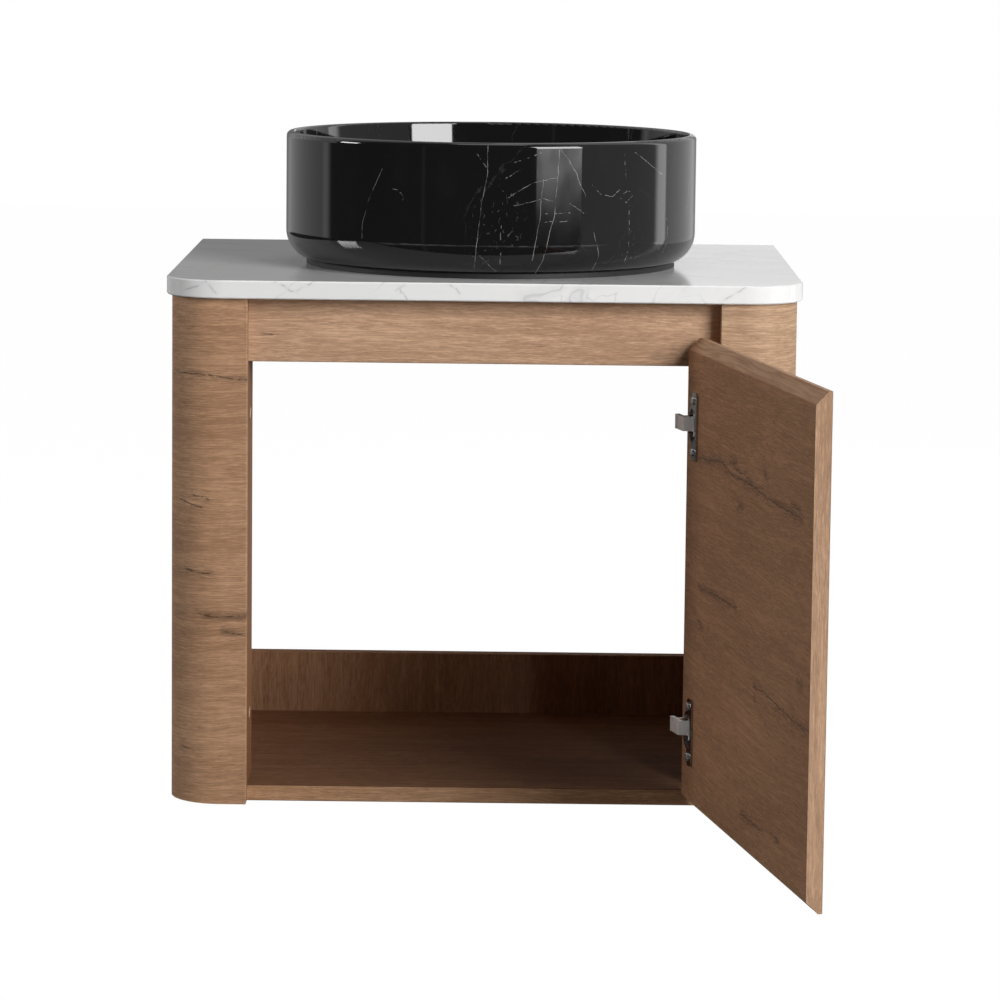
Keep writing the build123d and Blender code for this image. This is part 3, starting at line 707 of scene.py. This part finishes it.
class VANITY_OT_door(bpy.types.Operator):
    """Finish the door, with grain across its width and an edge band on its free edge; painted shade
    darkens its inner face, its edges and the band
    """
    bl_idname = "vanity.door"
    bl_label = "Door"

    def execute(self, context):
        finishes = context.scene.vanity_finishes
        low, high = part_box("door_panel")
        swing = math.radians(door_swing)
        corner = (high.x + door_width * math.cos(swing) - door_thick * math.sin(swing),
                  low.y + door_width * math.sin(swing), 0.0)
        dress("door_panel", oak("oak_door", finishes, "wide", door_inner_shade_tint, door_cracks,
                                turned=(corner, swing - math.pi),
                                show=(door_thick, door_face_tint),
                                bevels=(low.z, high.z, door_bevel, door_bevel_tint),
                                edge=(0, door_width - band_thick, door_edge_shade_tint)))
        return {"FINISHED"}


class VANITY_OT_counter(bpy.types.Operator):
    """Finish the stone counter"""
    bl_idname = "vanity.counter"
    bl_label = "Counter"

    def execute(self, context):
        dress("countertop", stone(context.scene.vanity_finishes))
        return {"FINISHED"}


class VANITY_OT_basin(bpy.types.Operator):
    """Finish the vessel basin and its bedding"""
    bl_idname = "vanity.basin"
    bl_label = "Basin"

    def execute(self, context):
        finishes = context.scene.vanity_finishes
        low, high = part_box("basin")
        centre = ((low.x + high.x) / 2, (low.y + high.y) / 2, low.z)
        dress("basin", marble_glaze(finishes, centre, (high.x - low.x) / 2))
        dress("basin_sealant", soft("silicone_bead", finishes.silicone, 0.4))
        return {"FINISHED"}


class VANITY_OT_drain(bpy.types.Operator):
    """Finish the pop-up drain"""
    bl_idname = "vanity.drain"
    bl_label = "Drain"

    def execute(self, context):
        finishes = context.scene.vanity_finishes
        chrome = metal("drain_chrome", finishes.chrome, 0.06)
        rubber = soft("gasket_rubber", finishes.rubber, 0.55)
        for node in ("drain_body", "drain_plug"):
            dress(node, chrome)
        for node in ("drain_top_gasket", "drain_lower_gasket", "drain_plug_seal"):
            dress(node, rubber)
        dress("drain_lock_nut", metal("nut_brass", finishes.brass, 0.28))
        return {"FINISHED"}


def screw_heights(low, high, spacing):
    """Heights of four wood screws, two at each hinge, from the corners of their box."""
    lowest = (low.z + wood_screw.head, high.z - wood_screw.head - spacing)
    return [height for foot in lowest for height in (foot, foot + spacing)]


class VANITY_OT_hinges(bpy.types.Operator):
    """Finish the concealed hinges and drive their screws"""
    bl_idname = "vanity.hinges"
    bl_label = "Hinges"

    def execute(self, context):
        finishes = context.scene.vanity_finishes
        steel = metal("hinge_nickel", finishes.steel, 0.42, (300, 300, 2600), metallic=0.3)
        dark = metal("cup_nickel", finishes.cup, 0.12, (300, 300, 2600))
        zinc = metal("screw_zinc", finishes.zinc, 0.22)
        for node in ("hinge_mounting_plates", "hinge_arms", "hinge_links"):
            dress(node, steel)
        dress("hinge_cups", dark)
        for node in ("hinge_arm_pins", "hinge_cup_pins"):
            dress(node, zinc)
        wood_mesh = cross_screw(wood_screw)
        machine_mesh = cross_screw(machine_screw)
        right = Vector((1, 0, 0))
        low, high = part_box("hinge_plate_screws")
        places = [(low.x + wood_screw.rise, (low.y + high.y) / 2, z)
                  for z in screw_heights(low, high, plate_screw_spacing)]
        drive("plate_screws", wood_mesh, places, right, "cabinet", "hinge_plate_screws", zinc)
        low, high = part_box("hinge_arm_screws")
        head = machine_screw.head
        places = [(low.x + machine_screw.rise, y, z) for y in (low.y + head, high.y - head)
                  for z in (low.z + head, high.z - head)]
        drive("arm_screws", machine_mesh, places, right, "cabinet", "hinge_arm_screws", zinc)
        low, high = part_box("hinge_cup_screws")
        swing = math.radians(door_swing)
        inward = Vector((math.sin(swing), -math.cos(swing), 0))
        seat = Vector((high.x, high.y, 0)) - inward * wood_screw.reach
        seat.x -= abs(inward.y) * wood_screw.crest
        seat.y -= abs(inward.x) * wood_screw.crest
        places = [(seat.x, seat.y, z) for z in screw_heights(low, high, cup_screw_spacing)]
        drive("cup_screws", wood_mesh, places, inward, "door", "hinge_cup_screws", zinc)
        return {"FINISHED"}


def softbox(name, bearing, height, size, power, fall=0.0):
    """Rectangular soft light at a bearing from the front and a height, both in degrees. One with a fall is
    barred, and its lower edge has that share of its light."""
    lamp = bpy.data.lights.new(name, "AREA")
    lamp.shape = "RECTANGLE"
    lamp.size, lamp.size_y = size
    lamp.energy = power
    if fall:
        lamp.use_nodes = True
        tree = lamp.node_tree
        tree.nodes.clear()
        place = Field(tree, tree.nodes.new("ShaderNodeNewGeometry").outputs["Parametric"])
        up = place.axes()[1]
        bars = place.noise((1.2, 10.0, 1.0), 3.0, 0.75).rise(0.42, 0.58)
        level = up.rise(0.45, 0.95) * (1 - fall) * 2 + fall
        shine = place.node("ShaderNodeEmission", None, {"Strength": level * (0.5 + bars)})
        place.node("ShaderNodeOutputLight", None, {"Surface": shine})
    body = bpy.data.objects.new(name, lamp)
    bpy.context.scene.collection.objects.link(body)
    body.matrix_world = (Matrix.Translation(light_target)
                         @ Matrix.Rotation(math.radians(bearing), 4, "Z")
                         @ Matrix.Rotation(math.radians(90 - height), 4, "X")
                         @ Matrix.Translation((0, 0, light_distance)))
    return body


def studio_world(studio):
    """A white background, faint light all round, and a room that gloss can reflect."""
    world = bpy.data.worlds.new("studio_world")
    bpy.context.scene.world = world
    world.use_nodes = True
    tree = world.node_tree
    tree.nodes.clear()
    way = Field(tree, tree.nodes.new("ShaderNodeTexCoord").outputs["Generated"])
    x, y, z = way.axes()
    path = way.node("ShaderNodeLightPath")
    seen = path.other("Is Camera Ray").most(path.other("Is Transmission Ray"))
    gloss = path.other("Is Glossy Ray")
    bearing = x.math("ARCTAN2", y * -1) * math.degrees(1)
    right_wall = bearing.rise(50, 53) * 0.38
    strip = bearing.rise(103, 109) * bearing.rise(116, 114) * 2.0
    right_back = bearing.rise(104, 108) * 0.42
    left_back = bearing.rise(-99, -107) * 0.46
    left_line = bearing.rise(-100, -104) * bearing.rise(-110, -105) * 0.4
    door_frame = bearing.rise(-39, -38) * bearing.rise(-36, -37) * 0.10
    behind = y.rise(0.90, 0.985)
    window = x.rise(0.0, 0.04) * x.rise(0.20, 0.12)
    shade = 1 - behind * (1 - window) * 0.78
    walls = (right_wall + strip + right_back + left_back + left_line + door_frame) * shade + 0.10
    down = z.rise(-0.100, -0.115)
    dark_ground = bearing.rise(-95, -105) * down * 0.9
    patches = way.noise((9, 9, 24), 2.0).rise(0.36, 0.56)
    front = bearing.rise(-70, -50) * bearing.rise(75, 55)
    lit_ground = front * down * z.rise(-0.25, -0.20) * (0.15 + patches)
    room = walls * (1 - dark_ground) + lit_ground
    level = gloss.math("MULTIPLY_ADD", room - studio.fill, studio.fill)
    level = seen.math("MULTIPLY_ADD", 1 - level, level)
    shine = way.node("ShaderNodeBackground", None, {"Color": (1, 1, 1, 1), "Strength": level})
    way.node("ShaderNodeOutputWorld", None, {"Surface": shine})


def studio_floor(drop):
    """Pale floor that stays white to the camera, keeps the shadow and is clear from below."""
    mesh = bpy.data.meshes.new("floor")
    shape = bmesh.new()
    bmesh.ops.create_grid(shape, x_segments=1, y_segments=1, size=floor_reach,
                          matrix=Matrix.Translation((0, 0, cad_box[0].z - drop)))
    shape.to_mesh(mesh)
    shape.free()
    floor = bpy.data.objects.new("floor", mesh)
    bpy.context.scene.collection.objects.link(floor)
    material, point = start_finish("floor_paint")
    path = point.node("ShaderNodeLightPath")
    seen = path.other("Is Camera Ray").most(path.other("Is Transmission Ray"))
    paint = point.node("ShaderNodeBsdfDiffuse", None, {"Color": (0.25, 0.25, 0.25, 1)})
    glow = point.node("ShaderNodeEmission", None, {"Color": (1, 1, 1, 1), "Strength": 1.1})
    mixed = point.node("ShaderNodeMixShader", None, {0: seen * 0.9, 1: paint, 2: glow})
    clear = point.node("ShaderNodeBsdfTransparent")
    under = Field(point.tree, point.tree.nodes.new("ShaderNodeNewGeometry").outputs["Backfacing"])
    through = path.other("Is Glossy Ray").most(under)
    mixed = point.node("ShaderNodeMixShader", None, {0: through, 1: mixed, 2: clear})
    point.node("ShaderNodeOutputMaterial", None, {"Surface": mixed})
    mesh.materials.append(material)


class VANITY_OT_studio(bpy.types.Operator):
    """Set up the camera, the lights, the background and the floor"""
    bl_idname = "vanity.studio"
    bl_label = "Studio"

    def execute(self, context):
        studio = context.scene.vanity_studio
        scene = context.scene
        scene.view_settings.view_transform = "Standard"
        lens = bpy.data.cameras.new("camera")
        lens.lens = studio.lens
        lens.sensor_width = 36
        lens.sensor_fit = "HORIZONTAL"
        lens.shift_y = studio.shift
        lens.clip_end = 100
        body = bpy.data.objects.new("camera", lens)
        scene.collection.objects.link(body)
        body.matrix_world = (Matrix.Translation(studio.camera_place)
                             @ Matrix.Rotation(studio.camera_yaw, 4, "Z")
                             @ Matrix.Rotation(math.pi / 2 - studio.camera_pitch, 4, "X")
                             @ Matrix.Rotation(studio.camera_roll, 4, "Z"))
        scene.camera = body
        key_bearing, key_width = 38, 2.3
        low_share, foot_share = 0.08, 0.0165
        softbox("key_high", key_bearing, 20, (key_width, 2.4), studio.key_power)
        softbox("key_low", key_bearing, 5, (key_width, 1.0), studio.key_power * low_share)
        softbox("key_foot", key_bearing, -2.9, (key_width, 0.40), studio.key_power * foot_share, fall=0.03)
        softbox("overhead", 0, 84, (2.0, 2.0), studio.overhead_power)
        softbox("back_right", 150, 2, (1.6, 1.6), studio.back_power).visible_glossy = False
        softbox("fill_left", -87, 18, (1.2, 1.2), studio.fill_power)
        studio_world(studio)
        studio_floor(studio.floor_drop)
        return {"FINISHED"}


class VANITY_PT_panel(bpy.types.Panel):
    """The vanity's pieces and finishes"""
    bl_idname = "VANITY_PT_panel"
    bl_label = "Vanity"
    bl_space_type = "VIEW_3D"
    bl_region_type = "UI"
    bl_category = "Vanity"

    def draw(self, context):
        for step in steps:
            self.layout.operator(step.bl_idname)
        for group in (context.scene.vanity_finishes, context.scene.vanity_studio):
            box = self.layout.box()
            for name in group.__annotations__:
                box.prop(group, name)


steps = (VANITY_OT_carcass, VANITY_OT_door, VANITY_OT_counter, VANITY_OT_basin, VANITY_OT_drain,
         VANITY_OT_hinges, VANITY_OT_studio)
classes = (VanityFinishes, VanityStudio) + steps + (VANITY_PT_panel,)


def register():
    """Register the classes and the scene's settings."""
    for kind in classes:
        bpy.utils.register_class(kind)
    bpy.types.Scene.vanity_finishes = PointerProperty(type=VanityFinishes)
    bpy.types.Scene.vanity_studio = PointerProperty(type=VanityStudio)


def unregister():
    """Remove the settings and the classes."""
    del bpy.types.Scene.vanity_studio
    del bpy.types.Scene.vanity_finishes
    for kind in reversed(classes):
        bpy.utils.unregister_class(kind)


def main():
    """Build everything."""
    register()
    bpy.ops.vanity.carcass()
    bpy.ops.vanity.door()
    bpy.ops.vanity.counter()
    bpy.ops.vanity.basin()
    bpy.ops.vanity.drain()
    bpy.ops.vanity.hinges()
    bpy.ops.vanity.studio()


if __name__ == "__main__":
    main()
